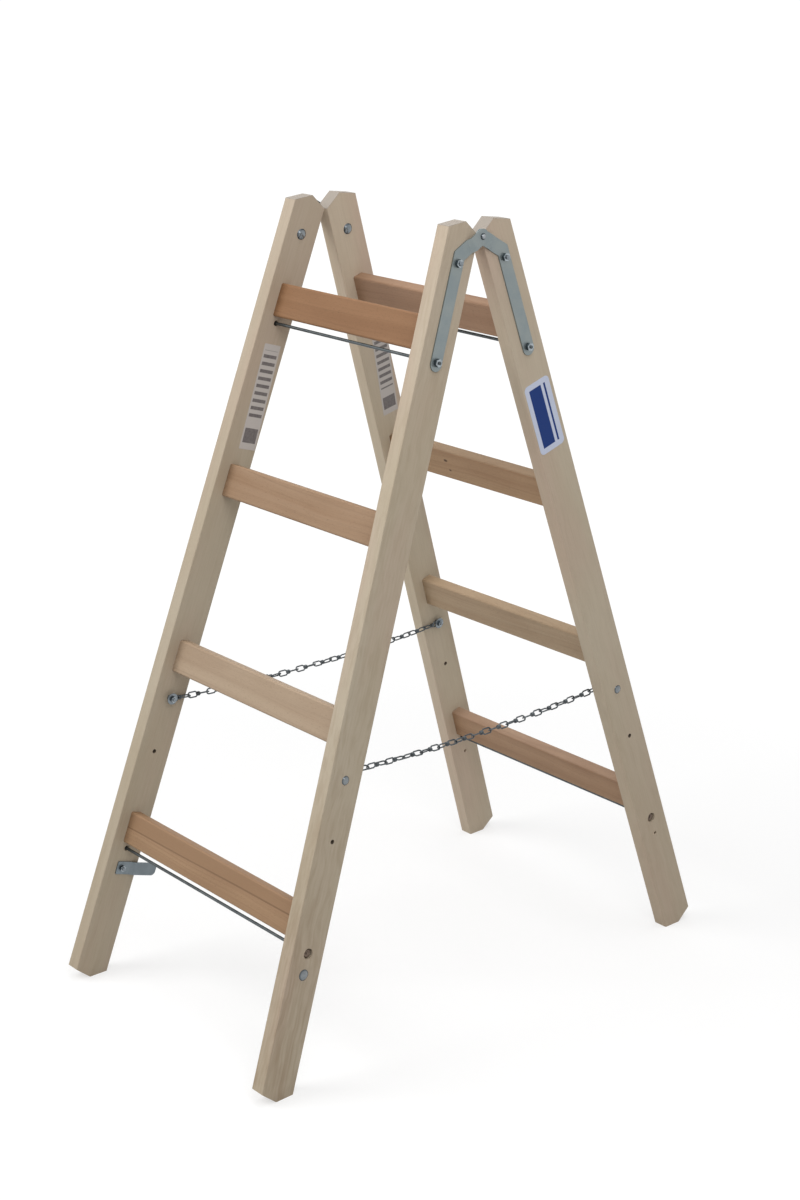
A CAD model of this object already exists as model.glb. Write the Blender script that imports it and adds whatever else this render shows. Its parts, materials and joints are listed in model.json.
import json
import math

import bpy
import numpy as np
from mathutils import Matrix, Vector


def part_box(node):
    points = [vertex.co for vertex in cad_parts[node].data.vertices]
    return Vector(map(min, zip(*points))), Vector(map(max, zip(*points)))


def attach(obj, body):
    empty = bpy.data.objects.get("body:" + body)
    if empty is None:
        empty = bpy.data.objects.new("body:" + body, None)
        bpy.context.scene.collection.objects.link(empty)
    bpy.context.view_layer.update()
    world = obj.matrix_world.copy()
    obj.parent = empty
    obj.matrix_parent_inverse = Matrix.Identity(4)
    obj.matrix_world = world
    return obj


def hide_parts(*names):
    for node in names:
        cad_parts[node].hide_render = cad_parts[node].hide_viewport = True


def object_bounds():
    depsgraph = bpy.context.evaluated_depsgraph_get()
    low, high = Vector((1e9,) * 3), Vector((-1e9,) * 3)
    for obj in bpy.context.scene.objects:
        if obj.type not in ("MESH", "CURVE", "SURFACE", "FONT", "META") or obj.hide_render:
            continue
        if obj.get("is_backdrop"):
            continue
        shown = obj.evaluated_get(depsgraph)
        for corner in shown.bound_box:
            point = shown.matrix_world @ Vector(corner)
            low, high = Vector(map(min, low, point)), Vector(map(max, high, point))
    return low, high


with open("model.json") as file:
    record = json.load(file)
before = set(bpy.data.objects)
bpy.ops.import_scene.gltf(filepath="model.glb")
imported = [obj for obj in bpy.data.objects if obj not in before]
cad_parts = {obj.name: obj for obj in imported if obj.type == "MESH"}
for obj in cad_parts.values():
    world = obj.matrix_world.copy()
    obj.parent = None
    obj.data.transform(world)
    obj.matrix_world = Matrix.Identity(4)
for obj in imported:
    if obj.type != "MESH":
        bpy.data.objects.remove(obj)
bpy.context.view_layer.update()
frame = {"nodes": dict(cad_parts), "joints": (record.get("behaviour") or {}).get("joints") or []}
parts = frame["nodes"]
joints = {j["name"]: j for j in frame["joints"]}
LEAVES = ("front", "back")
SIDES = ("left", "right")
MM = 0.001

# Driving sizes of the ladder, as in the part's source
STILE_DEPTH = 57 * MM
STILE_THICKNESS = 23 * MM
FOOT_WIDTH = 478 * MM
FIRST_RUNG = 217.5 * MM
RUNG_SPACING = 270 * MM
RUNG_HEIGHT = 48.5 * MM
HEAD_LENGTH = 131 * MM
RIDGE_SLOPE = math.tan(math.radians(25))
FOLD_GAP = 4 * MM
HINGE_BOLT_DROP = 55 * MM
CHAIN_DROP = 39 * MM
ROD_DROP = 9.5 * MM
HOOK_DROP = 30 * MM
SPARE_HOLE_DROP = 85 * MM
SPARE_HOLE_RADIUS = 3 * MM
ROD_RADIUS = 2.25 * MM
HINGE_BOLT_RADIUS = 3 * MM
SMALL_BOLT_RADIUS = 2.5 * MM

# Lean of a leaf, splay of a stile and height of the hinge, read from the joints
LEAN = math.radians(-joints["fold"]["range_deg"][0] / 2)
SPLAY = math.acos(joints["right_hook_turn"]["axis"][0])
PIVOT_Z = joints["fold"]["pos_m"][2]

# Places in a leaf: v towards the other leaf, u up from the feet, w along a stile
HALF_THICKNESS = STILE_THICKNESS / 2
STILE_LENGTH = FIRST_RUNG + 3 * RUNG_SPACING + RUNG_HEIGHT + HEAD_LENGTH
PIVOT_V = (STILE_DEPTH + FOLD_GAP) / 2
PIVOT_U = (PIVOT_Z + PIVOT_V * math.sin(LEAN)) / math.cos(LEAN)
FOOT_X = FOOT_WIDTH / 2 - HALF_THICKNESS
FOOT_Y = PIVOT_U * math.sin(LEAN) + PIVOT_V * math.cos(LEAN)
HINGE_BOLT_W = STILE_LENGTH - HINGE_BOLT_DROP
CHAIN_BOLT_W = FIRST_RUNG + RUNG_SPACING - CHAIN_DROP
HOOK_BOLT_W = FIRST_RUNG - ROD_DROP - HOOK_DROP
SPARE_HOLE_W = CHAIN_BOLT_W - SPARE_HOLE_DROP

# Ways through a stile, and distances of the nuts' outer faces and the domes' tops from its middle
OUT, IN = 1, -1
NUT_FACE = {"hinge": 18.7 * MM, "rod": 19 * MM, "chain": 23.5 * MM, "hook": 17.7 * MM}
DOME_TOP = {"hinge": 15 * MM, "chain": 14.5 * MM, "hook": 14.5 * MM}


def leaf_axes(leaf):
    """Unit vectors of a leaf: v towards the other leaf, u up the leaf."""
    way = 1 if leaf == "front" else -1
    v = np.array([0, way * math.cos(LEAN), -math.sin(LEAN)])
    u = np.array([0, way * math.sin(LEAN), math.cos(LEAN)])
    return v, u


def stile_axes(leaf, side):
    """Unit vectors of a stile: outwards through its thickness, across its depth, along its length."""
    v, u = leaf_axes(leaf)
    x = np.array([1 if side == "right" else -1, 0, 0])
    through = x * math.cos(SPLAY) + u * math.sin(SPLAY)
    along = u * math.cos(SPLAY) - x * math.sin(SPLAY)
    return through, v, along


def stile_foot(leaf, side):
    """Tip of a stile's foot, in the middle of its thickness."""
    return np.array([FOOT_X if side == "right" else -FOOT_X, -FOOT_Y if leaf == "front" else FOOT_Y, 0])


def stile_point(leaf, side, through, across, along):
    """Point of a stile from its distances out of the middle, across the depth and up from the foot."""
    axes = stile_axes(leaf, side)
    return stile_foot(leaf, side) + through * axes[0] + across * axes[1] + along * axes[2]


def label_axes(leaf, side, lean):
    """Unit vectors of a label on a stile's wide face: across it and up it, turned by its lean."""
    _, v, along = stile_axes(leaf, side)
    return v * math.cos(lean) - along * math.sin(lean), along * math.cos(lean) + v * math.sin(lean)


# Shader maths


class Value:
    """A socket in a node tree; arithmetic on it adds Math nodes."""

    def __init__(self, maker, socket):
        self.maker, self.socket = maker, socket

    def _math(self, operation, *values):
        return self.maker.node("ShaderNodeMath", {"operation": operation}, *values)

    def __add__(self, other):
        return self._math("ADD", self, other)

    def __radd__(self, other):
        return self._math("ADD", other, self)

    def __sub__(self, other):
        return self._math("SUBTRACT", self, other)

    def __rsub__(self, other):
        return self._math("SUBTRACT", other, self)

    def __mul__(self, other):
        return self._math("MULTIPLY", self, other)

    def __rmul__(self, other):
        return self._math("MULTIPLY", other, self)

    def __truediv__(self, other):
        return self._math("DIVIDE", self, other)

    def __rtruediv__(self, other):
        return self._math("DIVIDE", other, self)

    def __pow__(self, other):
        return self._math("POWER", self, other)

    def __abs__(self):
        return self._math("ABSOLUTE", self)

    def fract(self):
        return self._math("FRACT", self)

    def sqrt(self):
        return self._math("SQRT", self)

    def most(self, other):
        return self._math("MAXIMUM", self, other)

    def ramp(self, low, high, to_low=0.0, to_high=1.0):
        """Smooth step from to_low at low to to_high at high."""
        settings = {"interpolation_type": "SMOOTHSTEP"}
        return self.maker.node("ShaderNodeMapRange", settings, self, low, high, to_low, to_high)


class Maker:
    """Builds the node tree of a material or of the world round its shader."""

    def __init__(self, owner, shader="Principled BSDF"):
        owner.use_nodes = True
        self.owner = owner
        self.tree = owner.node_tree
        self.shader = self.tree.nodes[shader]

    def link(self, socket, value):
        if isinstance(value, Value):
            self.tree.links.new(value.socket, socket)
        else:
            socket.default_value = value

    def node(self, kind, settings=None, *values, out=0, **named):
        """Adds a node: its settings first, then the values or links of its sockets, in order or by name."""
        made = self.tree.nodes.new(kind)
        for key, value in (settings or {}).items():
            setattr(made, key, value)
        for socket, value in zip([s for s in made.inputs if s.enabled], values):
            self.link(socket, value)
        for key, value in named.items():
            self.link(made.inputs[key.replace("_", " ")], value)
        outputs = made.outputs if isinstance(out, str) else [s for s in made.outputs if s.enabled]
        return Value(self, outputs[out])

    def place(self):
        return self.node("ShaderNodeTexCoord", out="Object")

    def dot(self, vector, axis):
        settings = {"operation": "DOT_PRODUCT"}
        return self.node("ShaderNodeVectorMath", settings, vector, tuple(axis), out="Value")

    def distances(self, axes, origin):
        """Coordinates of the surface in metres along the axes, from the origin."""
        p = self.place()
        return [self.dot(p, axis) - float(axis @ origin) for axis in axes]

    def join(self, x, y, z):
        return self.node("ShaderNodeCombineXYZ", None, x, y, z)

    def noise(self, vector, scale, detail=2.0, rough=0.5):
        return self.node("ShaderNodeTexNoise", None, vector, Scale=scale, Detail=detail, Roughness=rough)

    def mix(self, factor, first, second, blend="MIX"):
        settings = {"data_type": "RGBA", "blend_type": blend}
        return self.node("ShaderNodeMix", settings, factor, first, second)

    def bump(self, height, strength, distance):
        return self.node("ShaderNodeBump", None, Strength=strength, Distance=distance, Height=height)

    def seen(self):
        """1 on rays from the camera and on those that metal and glass send on, else 0."""
        rays = ("Is Camera Ray", "Is Glossy Ray", "Is Transmission Ray")
        camera, glossy, clear = (self.node("ShaderNodeLightPath", out=ray) for ray in rays)
        return camera.most(glossy).most(clear)

    def feed(self, **inputs):
        for key, value in inputs.items():
            self.link(self.shader.inputs[key.replace("_", " ")], value)
        return self.owner


def new_material(name):
    return Maker(bpy.data.materials.new(name))


def tone(red, green, blue):
    """Linear colour from 8-bit display values."""
    def linear(c):
        c /= 255
        return c / 12.92 if c <= 0.04045 else ((c + 0.055) / 1.055) ** 2.4
    return (linear(red), linear(green), linear(blue), 1.0)


def shaded(colour, share):
    return tuple(c * share for c in colour[:3]) + (1.0,)


def dress(node, material):
    node.data.materials.clear()
    node.data.materials.append(material)


# Finishes

# Pine: pale, sandy, pink, brown, dark and grey, then the sawn ridge and the inside of a hole
PINE_TONES = (
    (187, 175, 155),
    (178, 164, 141),
    (186, 164, 147),
    (164, 147, 124),
    (146, 126, 102),
    (150, 134, 112),
)
END_GRAIN = (156, 148, 139)
HOLE_TONE = (44, 31, 22)
# Distances between one board and the next in the noise that their grain is cut from
PINE_STEP = 3.7
BEECH_STEP = 2.3


def softwood(name, axes, origin, seed, pith, ring, figure, root, fall, mottle, paleness):
    """Pale clear pine: growth rings about a pith outside the board, fine fibres, soft patches of tone.

    Ring distance is the distance from the pith line, bent slowly and rippled along the grain; its
    fraction rises to the dark late wood, which shows by figure, and drops at the next ring. Towards
    the foot wavy dark streaks stand out by root, and the board darkens by fall. Short wavy clouds
    darken it by mottle, less towards the top. The ridge at the top shows grey end grain: there the
    height up the leaf and what the ridge's slope takes off add up to the stile's length. The empty
    hole under the chain's bolt is dark.
    """
    m = new_material(name)
    g, a, t = m.distances(axes, origin)
    s = g + PINE_STEP * seed
    pale, sandy, pink, brown, dark, grey = (shaded(tone(*c), paleness) for c in PINE_TONES)
    drift = m.noise(m.join(s * 0.9, a * 5.0, t * 5.0), 1.6, 2.0) - 0.5
    ripple = m.noise(m.join(s * 12.0, a * 18.0, t * 18.0), 1.0, 2.0) - 0.5
    low = g.ramp(0.1, 0.42, 1.0, 0.0)
    radius = ((a - pith[0]) ** 2.0 + (t - pith[1]) ** 2.0).sqrt() + drift * 0.03 + ripple * 0.01
    turn = (radius / ring).fract()
    late = turn.ramp(0.35, 0.92) * turn.ramp(0.92, 1.0, 1.0, 0.0)
    year = m.noise(m.join(radius * 60.0, 0.5, 0.5), 1.0, 1.0).ramp(0.35, 0.7)
    fibre = m.noise(m.join(s * 22.0, a * 1100.0, t * 1100.0), 1.0, 3.0, 0.6)
    bent_a, bent_t = a + ripple * 0.012, t + ripple * 0.012
    streak = m.noise(m.join(s * 3.0, bent_a * 130.0, bent_t * 130.0), 1.0, 3.0, 0.55)
    flame = m.noise(m.join(s * 5.0, bent_a * 90.0 + ripple * 1.4, bent_t * 90.0), 1.0, 3.0, 0.6)
    cloud = m.noise(m.join(s * 26.0, bent_a * 130.0 + ripple * 2.0, bent_t * 130.0), 1.0, 2.0)
    patch = m.noise(m.join(s * 4.0, a * 16.0, t * 16.0), 1.0, 2.0)
    blush = m.noise(m.join(s * 2.6, a * 11.0, t * 11.0 + 4.0), 1.0, 2.0)
    colour = m.mix(patch.ramp(0.35, 0.7) * 0.5, pale, sandy)
    colour = m.mix(blush.ramp(0.42, 0.72) * 0.6 + g.ramp(0.75, 1.2) * 0.25, colour, pink)
    colour = m.mix(streak.ramp(0.48, 0.8) * 0.16, colour, brown)
    colour = m.mix(cloud.ramp(0.42, 0.68) * g.ramp(0.35, 0.9, mottle, mottle * 0.55), colour, dark)
    colour = m.mix(late * year * (figure + low * root * 0.25), colour, dark)
    colour = m.mix(flame.ramp(0.48, 0.72) * low * root, colour, dark)
    colour = m.mix(g.ramp(0.0, 0.85, fall, 0.0), colour, dark)
    colour = m.mix(fibre.ramp(0.45, 0.75) * 0.2, colour, grey)
    height = g * math.cos(SPLAY) + t * math.sin(SPLAY) + abs(a) * RIDGE_SLOPE
    end = height.ramp(STILE_LENGTH - 0.6 * MM, STILE_LENGTH - 0.2 * MM)
    colour = m.mix(end * (0.75 + fibre * 0.4), colour, tone(*END_GRAIN))
    hole = ((g - SPARE_HOLE_W) ** 2.0 + a ** 2.0).sqrt() - SPARE_HOLE_RADIUS
    colour = m.mix(hole.ramp(-0.2 * MM, 0.6 * MM, 1.0, 0.0) * 0.85, colour, tone(*HOLE_TONE))
    return m.feed(
        Base_Color=colour,
        Roughness=0.58 + fibre * 0.12,
        Specular_IOR_Level=0.2,
        Normal=m.bump(fibre * 0.7 + late * 0.3, 0.16, 0.3 * MM),
    )


STRIPE_TONE = (84, 56, 38)
KNOT_TONE = (52, 34, 24)


def hardwood(name, axes, origin, seed, base, deep, upper, stripe, knots):
    """Reddish beech: fine growth stripes, short dark flecks along the grain, broad bands of tone.

    The upper face is paler or deeper by the shares in upper. A stripe is a dark line at a height
    and slope, with the wood above it a little deeper; a knot is a small dark oval.
    """
    m = new_material(name)
    g, a, t = m.distances(axes, origin)
    s = g + BEECH_STEP * seed
    drift = m.noise(m.join(s * 1.4, a * 6.0, t * 6.0), 1.5, 2.0) - 0.5
    layer = a + t * 0.35 + drift * 0.035
    band = m.noise(m.join(s * 0.8, layer * 60.0, 0.0), 1.0, 3.0, 0.55)
    lines = m.noise(m.join(s * 4.0, layer * 380.0, t * 60.0), 1.0, 3.0, 0.6)
    blotch = m.noise(m.join(s * 8.0, a * 24.0, t * 24.0), 1.0, 2.0)
    fleck = m.noise(m.join(s * 170.0, a * 1700.0, t * 1700.0), 1.0, 2.0)
    shade = shaded(deep, 0.55)
    colour = m.mix(band.ramp(0.3, 0.72) * 0.7 + blotch.ramp(0.42, 0.7) * 0.3, base, deep)
    colour = m.mix(lines.ramp(0.45, 0.78) * 0.24, colour, shade)
    colour = m.mix(fleck.ramp(0.58, 0.72) * 0.5, colour, shade)
    if upper:
        edge = a.ramp(RUNG_HEIGHT / 2 - 2.5 * MM, RUNG_HEIGHT / 2 - 0.6 * MM)
        colour = m.mix(edge, colour, (*upper, 1.0), "MULTIPLY")
    if stripe:
        height, slope = stripe
        offset = a - height - g * slope + drift * 0.008
        colour = m.mix(offset.ramp(0.0, 2 * MM) * 0.75, colour, deep)
        colour = m.mix(abs(offset).ramp(0.5 * MM, 1.8 * MM, 1.0, 0.0) * 0.42, colour, tone(*STRIPE_TONE))
    for along, across, size in knots:
        spread = ((g - along) ** 2.0 * 0.3 + (a - across) ** 2.0).sqrt()
        colour = m.mix(spread.ramp(size * 0.4, size, 1.0, 0.0) * 0.8, colour, tone(*KNOT_TONE))
    return m.feed(
        Base_Color=colour,
        Roughness=0.5 + lines * 0.12,
        Specular_IOR_Level=0.25,
        Normal=m.bump(fleck * 0.5 + lines * 0.5, 0.14, 0.25 * MM),
    )


PLATE_METALLIC = 0.85


def plated_steel(name, light, dark, rough, scale=1.0):
    """Zinc plate on steel: faint clouds, small crystals and fine wiped scratches."""
    m = new_material(name)
    p = m.place()
    cloud = m.noise(p, 40.0 * scale, 3.0)
    crystal = m.node("ShaderNodeTexVoronoi", None, p, Scale=420.0 * scale)
    scratch = m.noise(m.node("ShaderNodeMapping", None, p, Scale=(900.0, 900.0, 60.0)), 1.0, 2.0)
    colour = m.mix(cloud.ramp(0.3, 0.7) * 0.5, tone(*light), tone(*dark))
    colour = m.mix(crystal.ramp(0.2, 0.7) * 0.14, colour, tone(*dark))
    return m.feed(
        Base_Color=colour,
        Metallic=PLATE_METALLIC,
        Roughness=rough + cloud * 0.1 + scratch * 0.08,
        Normal=m.bump(scratch * 0.4 + crystal * 0.6, 0.06, 0.2 * MM),
    )


HEAD_CLOUD = (92, 100, 106)


def head_steel(name, leaf, way, top, depth, rim, crown):
    """Zinc plate on nuts and domed heads: bright on top, dark on the sides or the rim below it.

    The height is the distance from the stile's middle along its thickness, counted outwards or
    inwards; the tone goes from rim to crown over the lower part of the depth below the top.
    """
    m = new_material(name)
    p = m.place()
    _, u = leaf_axes(leaf)
    foot = stile_foot(leaf, "right")
    level = float(foot[0] * math.cos(SPLAY) + (u @ foot) * math.sin(SPLAY))
    height = way * (abs(m.dot(p, (1, 0, 0))) * math.cos(SPLAY) + m.dot(p, u) * math.sin(SPLAY) - level)
    upper = height.ramp(top - depth, top - 0.38 * depth)
    cloud = m.noise(p, 160.0, 3.0)
    colour = m.mix(upper, tone(*rim), tone(*crown))
    colour = m.mix(cloud.ramp(0.35, 0.7) * 0.4, colour, tone(*HEAD_CLOUD))
    return m.feed(Base_Color=colour, Metallic=PLATE_METALLIC, Roughness=0.14 + cloud * 0.12)


# Prints of the labels: paper, worn paper and ink
BAR_TONES = ((194, 187, 182), (168, 160, 152), (84, 77, 77))
BAR_PITCH = 11 * MM
BAND_TONES = ((203, 210, 229), (158, 164, 186), (3, 48, 116))


def bar_print(name, axes, centre, size):
    """Plain label: pale paper with even bars across it and one solid block at its lower end."""
    m = new_material(name)
    x, y = m.distances(axes, centre)
    wide, tall = size
    paper, worn, ink = (tone(*c) for c in BAR_TONES)
    wear = m.noise(m.place(), 260.0, 3.0)
    inside = abs(x).ramp(wide * 0.4, wide * 0.41, 1.0, 0.0)
    bars = abs((y / BAR_PITCH).fract() - 0.5).ramp(0.2, 0.26, 1.0, 0.0)
    bars = bars * y.ramp(-tall * 0.2, -tall * 0.19) * y.ramp(tall * 0.44, tall * 0.445, 1.0, 0.0)
    block = y.ramp(-tall * 0.3, -tall * 0.295, 1.0, 0.0) * y.ramp(-tall * 0.44, -tall * 0.435)
    colour = m.mix(wear * 0.2, paper, worn)
    colour = m.mix(bars.most(block) * inside * (0.7 + wear * 0.3), colour, ink)
    return m.feed(Base_Color=colour, Roughness=0.42 + wear * 0.1)


def band_print(name, axes, centre, size):
    """Plain label: pale paper, one broad band along its middle and a narrow one beside it."""
    m = new_material(name)
    x, y = m.distances(axes, centre)
    wide, tall = size
    paper, worn, ink = (tone(*c) for c in BAND_TONES)
    wear = m.noise(m.place(), 200.0, 3.0)
    ends = abs(y).ramp(tall * 0.42, tall * 0.425, 1.0, 0.0)
    broad = abs(x - wide * 0.1).ramp(wide * 0.235, wide * 0.245, 1.0, 0.0)
    narrow = abs(x + wide * 0.28).ramp(wide * 0.03, wide * 0.04, 1.0, 0.0)
    colour = m.mix(wear * 0.15, paper, worn)
    colour = m.mix(broad.most(narrow) * ends, colour, ink)
    return m.feed(Base_Color=colour, Roughness=0.36 + wear * 0.1, Specular_IOR_Level=0.25)


# Added pieces


def add_piece(mesh, material, body):
    """Object of a finished mesh, riding on a body of the ladder."""
    piece = bpy.data.objects.new(mesh.name, mesh)
    bpy.context.scene.collection.objects.link(piece)
    mesh.materials.append(material)
    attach(piece, body)
    return piece


def grid_piece(name, points, material, body):
    """Closed shell over a grid of points: columns run round, the first and last row shrink to a point."""
    rows, columns = points.shape[:2]
    ring = np.arange(columns)
    after = np.roll(ring, -1)
    inner = 1 + np.arange(rows - 3)[:, None] * columns
    quads = np.stack([inner + ring, inner + after, inner + columns + after, inner + columns + ring], -1)
    last = 1 + (rows - 2) * columns
    start = np.stack([np.zeros_like(ring), 1 + after, 1 + ring], -1)
    end = np.stack([np.full_like(ring, last), last - columns + ring, last - columns + after], -1)
    places = np.vstack([points[0, :1], points[1:-1].reshape(-1, 3), points[-1, :1]])
    mesh = bpy.data.meshes.new(name)
    mesh.from_pydata(places.tolist(), [], quads.reshape(-1, 4).tolist() + start.tolist() + end.tolist())
    mesh.validate()
    add_piece(mesh, material, body)


# Loop of a chain on its bolt, reach of a run past it, how far the run's far end goes inwards and up,
# digits of a metre to which points fall together, and the angle at which an edge stays sharp
FIRST_LOOP = 15 * MM
RUN_REACH = 255 * MM
LEAD_OFF = 5.5 * MM
TAUT = {"left": 4 * MM, "right": -2 * MM}
MERGE_DIGITS = 7
SHARP_EDGE = math.radians(50)


def chain_links(side, leaf, material):
    """Chain run as the solids have it, led off the wood, so that it clears the stile where it hangs folded.

    A point goes inwards by its distance from the run's bolt along the chain, less the loop on the
    bolt, as a share of the run's reach times the lead, and up by that share of what the chain is
    tauter. Triangles share the points that fall together.
    """
    run = f"{side}_chain_{leaf}"
    solid = parts[f"{run}_run"].data
    places = np.empty((len(solid.vertices), 3), np.float32)
    solid.vertices.foreach_get("co", places.ravel())
    corners = np.empty(len(solid.loops), np.int32)
    solid.loops.foreach_get("vertex_index", corners)
    rounded = np.round(places, MERGE_DIGITS)
    _, first, shared = np.unique(rounded, axis=0, return_index=True, return_inverse=True)
    points = places[first].astype(float)
    faces = shared.ravel()[corners].reshape(-1, 3)
    whole = (faces != np.roll(faces, 1, axis=1)).all(axis=1)
    away = np.abs(points[:, 1] - joints[f"{run}_swing"]["pos_m"][1])
    inwards = -1 if side == "right" else 1
    share = np.clip(away - FIRST_LOOP, 0, None) / RUN_REACH
    points[:, 0] += inwards * LEAD_OFF * share
    points[:, 2] += TAUT[side] * share
    mesh = bpy.data.meshes.new(f"{run}_links")
    mesh.from_pydata(points.tolist(), [], faces[whole].tolist())
    mesh.polygons.foreach_set("use_smooth", np.ones(len(mesh.polygons), bool))
    mesh.set_sharp_from_angle(angle=SHARP_EDGE)
    piece = add_piece(mesh, material, run)
    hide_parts(f"{run}_run")


# Thickness of a label, its distance from the wood, and points round its rim
FOIL = 0.2 * MM
FOIL_GAP = 0.02 * MM
RIM_POINTS = 96


def label(name, leaf, side, face, across, along, size, corner, lean, finish):
    """Thin label on a stile's wide face.

    Its rim is a rounded rectangle: at each angle the corner radius in that direction, moved out to
    the corner that the angle points at. Rows go from the middle on the wood to the rim, up by the
    foil's thickness and back to the middle.
    """
    centre = stile_point(leaf, side, face * HALF_THICKNESS, across, along)
    axes = label_axes(leaf, side, lean)
    out = face * stile_axes(leaf, side)[0]
    angle = (np.arange(RIM_POINTS) + 0.5) * (2 * math.pi / RIM_POINTS)
    rim_x = corner * np.cos(angle) + np.sign(np.cos(angle)) * (size[0] / 2 - corner)
    rim_y = corner * np.sin(angle) + np.sign(np.sin(angle)) * (size[1] / 2 - corner)
    rim = rim_x[:, None] * axes[0] + rim_y[:, None] * axes[1]
    reach = np.array([0, 1, 1, 0.5, 0])[:, None, None]
    lift = np.array([0, 0, FOIL, FOIL, FOIL])[:, None, None]
    points = centre + reach * rim + (lift + FOIL_GAP) * out
    if np.cross(*axes) @ out < 0:
        points = points[:, ::-1]
    grid_piece(name, points, finish(f"{name} print", axes, centre, size), f"{leaf}_leaf")


# Thread: pitch, depth, how far its crest stands past the solid's plain end, and taper of its last quarter
THREAD_PITCH = 0.5 * MM
THREAD_DEPTH = 0.15 * MM
THREAD_PROUD = 0.06 * MM
THREAD_TAPER = 0.4 * MM
THREAD_ROWS = 25
THREAD_COLUMNS = 32


def thread_end(name, start, direction, radius, length, body, material):
    """Threaded end of a bolt or rod.

    The radius is the bolt's with the crest, less a triangle wave of the height over the pitch minus
    the angle's share of a turn, so that the groove climbs as a helix; the last quarter tapers in to
    the flat end.
    """
    direction = np.asarray(direction, float)
    side = np.cross(direction, [0, 0, 1])
    side /= np.linalg.norm(side)
    other = np.cross(direction, side)
    height = np.linspace(0, length, THREAD_ROWS)[:, None]
    angle = np.arange(THREAD_COLUMNS)[None, :] * (2 * math.pi / THREAD_COLUMNS)
    wave = np.abs((height / THREAD_PITCH - angle / (2 * math.pi)) % 1 - 0.5) * 2
    taper = np.clip((height - 0.75 * length) / (0.25 * length), 0, 1) * THREAD_TAPER
    width = radius + THREAD_PROUD - THREAD_DEPTH * wave - taper
    middle = np.asarray(start) + height[..., None] * direction
    round_it = np.cos(angle)[..., None] * side + np.sin(angle)[..., None] * other
    coil = middle + width[..., None] * round_it
    first = np.broadcast_to(middle[0], coil[:1].shape)
    last = np.broadcast_to(middle[-1], coil[:1].shape)
    grid_piece(name, np.concatenate([first, coil, last]), material, body)


# Wood on the solids

GRAIN = {
    "front_left": dict(
        pith=(55 * MM, -40 * MM), ring=6.2 * MM,
        figure=0.05, root=0.05, fall=0.12, mottle=0.06, paleness=0.995,
    ),
    "front_right": dict(
        pith=(-50 * MM, 30 * MM), ring=5.2 * MM,
        figure=0.06, root=0.6, fall=0.2, mottle=0.24, paleness=1.04,
    ),
    "back_left": dict(
        pith=(50 * MM, 50 * MM), ring=6.6 * MM,
        figure=0.06, root=0.05, fall=0.0, mottle=0.06, paleness=1.185,
    ),
    "back_right": dict(
        pith=(-45 * MM, -50 * MM), ring=6.0 * MM,
        figure=0.03, root=0.1, fall=0.16, mottle=0.08, paleness=1.1,
    ),
}
for seed, (place, grain) in enumerate(GRAIN.items()):
    leaf, side = place.split("_")
    through, across, along = stile_axes(leaf, side)
    foot = stile_foot(leaf, side)
    wood = softwood(f"pine {leaf} {side}", (along, across, through), foot, seed, **grain)
    dress(parts[f"{place}_stile"], wood)

# Base and deep tone of each rung, then what single rungs have: shares on the upper face, height and
# slope of a stripe, and each knot's place along and across the rung and its size
RUNG_TONES = {
    "front_top_rung": ((146, 109, 78), (130, 94, 64)),
    "front_upper_rung": ((162, 134, 108), (147, 117, 90)),
    "front_lower_rung": ((177, 156, 133), (163, 140, 117)),
    "front_bottom_rung": ((168, 137, 106), (148, 117, 89)),
    "back_top_rung": ((163, 131, 106), (149, 116, 92)),
    "back_upper_rung": ((173, 142, 110), (156, 122, 92)),
    "back_lower_rung": ((178, 156, 129), (161, 136, 109)),
    "back_bottom_rung": ((170, 138, 109), (148, 115, 88)),
}
UPPER_FACES = {
    "back_top_rung": (0.91, 0.9, 0.88),
    "back_upper_rung": (0.92, 1.04, 1.15),
    "back_bottom_rung": (1.1, 1.2, 1.38),
}
STRIPES = {"front_bottom_rung": (2.9 * MM, 0.014)}
KNOTS = {"back_upper_rung": ((-48 * MM, 7.5 * MM, 3 * MM), (-42 * MM, -8 * MM, 2 * MM))}
for seed, (name, tones) in enumerate(RUNG_TONES.items()):
    base, deep = (tone(*c) for c in tones)
    v, u = leaf_axes(name.split("_")[0])
    low, high = (np.array(c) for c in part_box(name))
    axes = (np.array([1, 0, 0]), u, v)
    marks = (UPPER_FACES.get(name), STRIPES.get(name), KNOTS.get(name, ()))
    dress(parts[name], hardwood(f"beech {name}", axes, (low + high) / 2, seed, base, deep, *marks))

# Steel on the solids

bar_zinc = plated_steel("hinge bar zinc", (142, 149, 148), (124, 136, 141), 0.36)
hook_zinc = plated_steel("hook zinc", (126, 135, 140), (106, 115, 121), 0.32)
head_zinc = plated_steel("bolt head zinc", (140, 147, 152), (104, 113, 120), 0.24, 2.0)
sunk_steel = plated_steel("sunk nut steel", (120, 104, 92), (70, 58, 50), 0.36, 2.0)
chain_steel = plated_steel("chain wire", (93, 98, 101), (61, 66, 70), 0.26, 2.0)
rod_steel = plated_steel("rod steel", (92, 98, 100), (62, 67, 70), 0.3, 1.5)
FITTINGS = (
    ("hinge_bar", bar_zinc),
    ("transport_hook", hook_zinc),
    ("chain_front", chain_steel),
    ("chain_back", chain_steel),
    ("tie_rod", rod_steel),
    ("bottom_rod_nuts", sunk_steel),
    ("lock_nuts", head_zinc),
    ("washers", head_zinc),
)
for name, node in parts.items():
    steel = next((finish for part, finish in FITTINGS if part in name), None)
    if steel:
        dress(node, steel)

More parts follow.
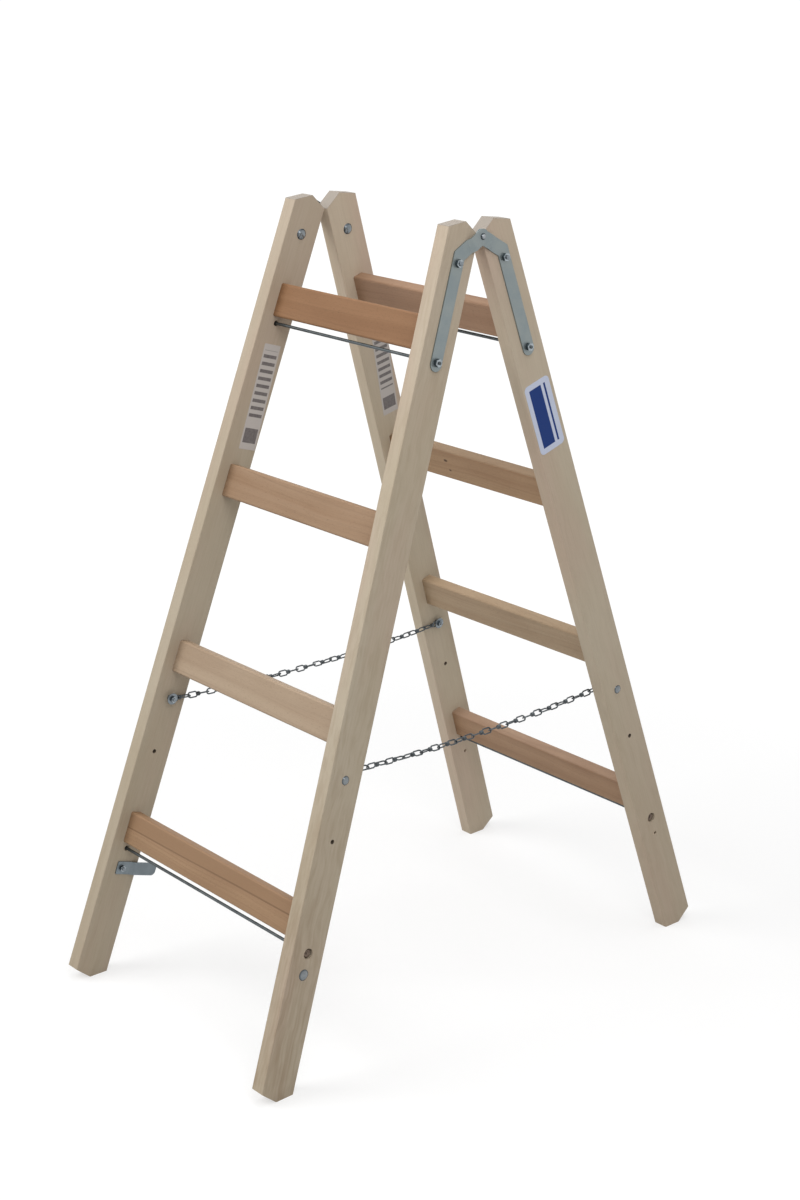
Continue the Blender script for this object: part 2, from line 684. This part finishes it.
# Nuts and heads that show: depth of the shaded part with the tones of rim and crown, then the way each
# kind faces and its top's distance from the stile's middle
NUT_TONES = (1.3 * MM, (62, 70, 76), (168, 176, 181))
DOME_TONES = (2.9 * MM, (60, 64, 68), (130, 135, 138))
RIVET_TONES = (1.6 * MM, (36, 41, 46), (168, 172, 176))
TURNED = {
    "hinge_nuts": (OUT, NUT_FACE["hinge"], *NUT_TONES),
    "top_rod_nuts": (OUT, NUT_FACE["rod"], *NUT_TONES),
    "chain_nuts": (IN, NUT_FACE["chain"], *NUT_TONES),
    "hook_nuts": (IN, NUT_FACE["hook"], *NUT_TONES),
    "hinge_bolts": (IN, DOME_TOP["hinge"], *DOME_TONES),
    "chain_bolts": (OUT, DOME_TOP["chain"], *DOME_TONES),
    "hook_bolts": (OUT, DOME_TOP["hook"], *DOME_TONES),
}
for name in parts:
    kind = next((kind for kind in TURNED if name.endswith(kind)), None)
    if kind:
        leaf = "back" if name.startswith("back") else "front"
        dress(parts[name], head_steel(f"{name} zinc", leaf, *TURNED[kind]))

# The rivet's dome stands on the hinge axis, farther out than the heads on the wood
_, front_up = leaf_axes("front")
front_foot = stile_foot("front", "right")
rivet_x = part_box("hinge_rivets")[1][0]
rivet_rise = PIVOT_Z * front_up[2] - front_up @ front_foot
rivet_top = float((rivet_x - front_foot[0]) * math.cos(SPLAY) + rivet_rise * math.sin(SPLAY))
dress(parts["hinge_rivets"], head_steel("hinge rivet zinc", "front", OUT, rivet_top, *RIVET_TONES))

for side in SIDES:
    for leaf in LEAVES:
        chain_links(side, leaf, chain_steel)

# Labels: bars on the left stiles' inner faces, bands on the back right stile's outer face. Each row:
# name, leaf, side, face, place across and along the stile, size, corner radius, lean, print
TILT = math.radians(2.3)
LABELS = (
    ("front_left_label", "front", "left", IN, 8.5 * MM, 911 * MM,
     (29.5 * MM, 157 * MM), 1.5 * MM, -TILT, bar_print),
    ("back_left_label", "back", "left", IN, -9 * MM, 912 * MM,
     (30 * MM, 140 * MM), 1.5 * MM, -2 * TILT, bar_print),
    ("back_right_label", "back", "right", OUT, 1.6 * MM, 912.5 * MM,
     (48 * MM, 106 * MM), 7 * MM, 0.0, band_print),
)
for row in LABELS:
    label(*row)

# Threads past the nuts: tie rods along x, a little past the solid's end, bolts along the stile's thickness
ROD_PROUD = 0.3 * MM
for leaf in LEAVES:
    for level in ("top", "bottom"):
        low, high = (np.array(c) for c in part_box(f"{leaf}_{level}_tie_rod"))
        nut_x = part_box(f"{leaf}_{level}_rod_nuts")[1][0]
        length = high[0] - nut_x + ROD_PROUD
        steel = rod_steel if level == "top" else sunk_steel
        for side, way in (("left", -1), ("right", 1)):
            start = (low + high) / 2
            start[0] = way * nut_x
            name = f"{leaf}_{level}_rod_thread_{side}"
            thread_end(name, start, (way, 0, 0), ROD_RADIUS, length, f"{leaf}_leaf", steel)

# Each row: kind of bolt, its leaves, place along the stile, way of its thread, radius
BOLT_END = 1.8 * MM
BOLTS = (
    ("hinge", LEAVES, HINGE_BOLT_W, OUT, HINGE_BOLT_RADIUS),
    ("chain", LEAVES, CHAIN_BOLT_W, IN, SMALL_BOLT_RADIUS),
    ("hook", ("front",), HOOK_BOLT_W, IN, SMALL_BOLT_RADIUS),
)
for kind, leaves, w, way, radius in BOLTS:
    for leaf in leaves:
        for side in SIDES:
            direction = way * stile_axes(leaf, side)[0]
            start = stile_point(leaf, side, way * NUT_FACE[kind], 0, w)
            name = f"{leaf}_{kind}_thread_{side}"
            thread_end(name, start, direction, radius, BOLT_END, f"{leaf}_leaf", head_zinc)

# Stage: pale floor, soft light, camera

FLOOR_HALF = 30.0
# Greys of the floor: as it lights the ladder, and as it is seen
FLOOR_GREYS = (206, 212)
SEEN_GREYS = (250, 252)
GLOW = 1.05
# Share of the glow up to the near distance from the ladder's middle; past the far one it is whole
NEAR_GLOW = 0.6
NEAR, FAR = 0.7, 1.8
WORLD_STRENGTH = 0.4
WHITE = (1, 1, 1, 1)
# Each row: lamp, place, where it points, side of its square in metres, watts
LAMPS = (
    ("key", (-1.4, -2.3, 3.0), (0, -0.1, 0.7), 2.0, 66),
    ("fill", (1.7, -0.9, 2.4), (0, 0, 0.7), 1.4, 20),
    ("top", (0.2, 0.3, 3.4), (0, 0, 0), 2.0, 30),
)
# Camera worked out from the ladder's outline in the photograph; focal length and picture height in pixels
FOCAL_PIXELS, HEIGHT_PIXELS = 2084.523, 1200
CAMERA_PLACE = (2.187985, -1.914930, 1.546193)
YAW, PITCH, ROLL = (math.radians(d) for d in (48.548, -18.587, 0.580))
SENSOR_HEIGHT = 36.0
CLIP_END = 200


def stage_floor():
    """Wide flat floor at the feet, pale and matt.

    Where the camera sees it, it glows white: wholly far away, and in part near the ladder, so that
    the ladder's soft shadow stays on it. The share grows with the distance from the ladder.
    """
    corners = [(x * FLOOR_HALF, y * FLOOR_HALF, 0) for x, y in ((-1, -1), (1, -1), (1, 1), (-1, 1))]
    mesh = bpy.data.meshes.new("floor")
    mesh.from_pydata(corners, [], [(0, 1, 2, 3)])
    floor = bpy.data.objects.new("floor", mesh)
    bpy.context.scene.collection.objects.link(floor)
    m = new_material("floor")
    p = m.place()
    seen = m.seen()
    grain = m.noise(p, 3.0)
    pale, white = (m.mix(grain, *(tone(c, c, c) for c in greys)) for greys in (FLOOR_GREYS, SEEN_GREYS))
    m.feed(Base_Color=m.mix(seen, pale, white), Roughness=0.9)
    away = (m.dot(p, (1, 0, 0)) ** 2.0 + m.dot(p, (0, 1, 0)) ** 2.0).sqrt()
    glow = m.node("ShaderNodeEmission", None, Color=WHITE, Strength=GLOW)
    plain = Value(m, m.shader.outputs[0])
    share = seen * away.ramp(NEAR, FAR, NEAR_GLOW, 1.0)
    blend = m.node("ShaderNodeMixShader", None, share, plain, glow)
    m.tree.links.new(blend.socket, m.tree.nodes["Material Output"].inputs[0])
    mesh.materials.append(m.owner)
    floor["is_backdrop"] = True


def white_world():
    """Even light from all round, white where the camera or a mirror sees it."""
    world = bpy.data.worlds.new("studio")
    m = Maker(world, "Background")
    m.feed(Color=WHITE, Strength=WORLD_STRENGTH + m.seen() * (1 - WORLD_STRENGTH))
    bpy.context.scene.world = world


def soft_lamp(name, place, target, size, watts):
    lamp = bpy.data.lights.new(name, "AREA")
    lamp.shape = "SQUARE"
    lamp.size = size
    lamp.energy = watts
    holder = bpy.data.objects.new(name, lamp)
    holder.location = place
    holder.rotation_euler = (Vector(target) - Vector(place)).to_track_quat("-Z", "Y").to_euler()
    bpy.context.scene.collection.objects.link(holder)


def photo_camera():
    """Camera looking along its yaw and pitch, then rolled about that line."""
    forward = Vector((-math.sin(YAW) * math.cos(PITCH), math.cos(YAW) * math.cos(PITCH), math.sin(PITCH)))
    level = forward.cross(Vector((0, 0, 1))).normalized()
    upright = level.cross(forward)
    right = level * math.cos(ROLL) + upright * math.sin(ROLL)
    up = upright * math.cos(ROLL) - level * math.sin(ROLL)
    lens = bpy.data.cameras.new("camera")
    lens.sensor_fit = "VERTICAL"
    lens.sensor_height = SENSOR_HEIGHT
    lens.lens = FOCAL_PIXELS / HEIGHT_PIXELS * SENSOR_HEIGHT
    lens.clip_end = CLIP_END
    camera = bpy.data.objects.new("camera", lens)
    turn = Matrix((right, up, -forward)).transposed().to_4x4()
    camera.matrix_world = Matrix.Translation(CAMERA_PLACE) @ turn
    bpy.context.scene.collection.objects.link(camera)
    bpy.context.scene.camera = camera


stage_floor()
white_world()
for row in LAMPS:
    soft_lamp(*row)
photo_camera()
bpy.context.scene.view_settings.view_transform = "Standard"

low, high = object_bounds()
